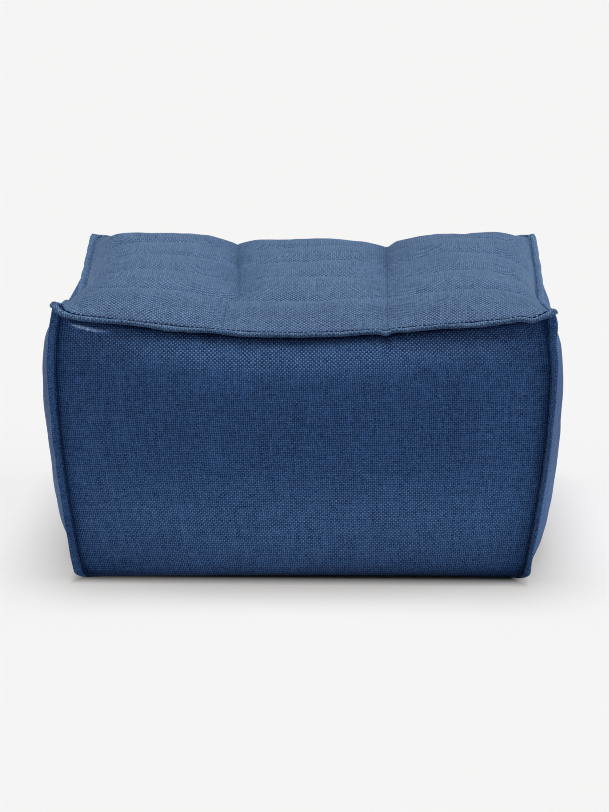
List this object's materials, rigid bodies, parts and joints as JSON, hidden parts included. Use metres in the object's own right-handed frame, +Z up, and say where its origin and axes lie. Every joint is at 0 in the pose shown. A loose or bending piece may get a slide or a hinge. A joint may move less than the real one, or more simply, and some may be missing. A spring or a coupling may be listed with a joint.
{
  "type": "upholstered footstool",
  "caption": "Low square upholstered footstool in woven cloth: filled body with bulging sides, quilted top pad and stitched flanges of doubled cloth along every seam.",
  "frame": {"origin": "centre of the footstool's box, on the surface it stands on", "axes": "+Z up, +X along the longer side towards the right as seen from the front, -Y towards the front"},
  "size_m": [0.7883, 0.6888, 0.4292],
  "materials": {
    "side_cloth": "matt plain weave, dark denim blue",
    "top_cloth": "matt plain weave, dark denim blue, quilted",
    "flange_cloth": "matt plain weave, doubled and topstitched"
  },
  "bodies": {
    "root": {"body": "side_cloth", "quilted_top": "top_cloth", "flange_front": "flange_cloth", "flange_right": "flange_cloth", "flange_back": "flange_cloth", "flange_left": "flange_cloth", "flange_front_left": "flange_cloth", "flange_front_right": "flange_cloth", "flange_back_left": "flange_cloth", "flange_back_right": "flange_cloth"}
  },
  "joints": []
}
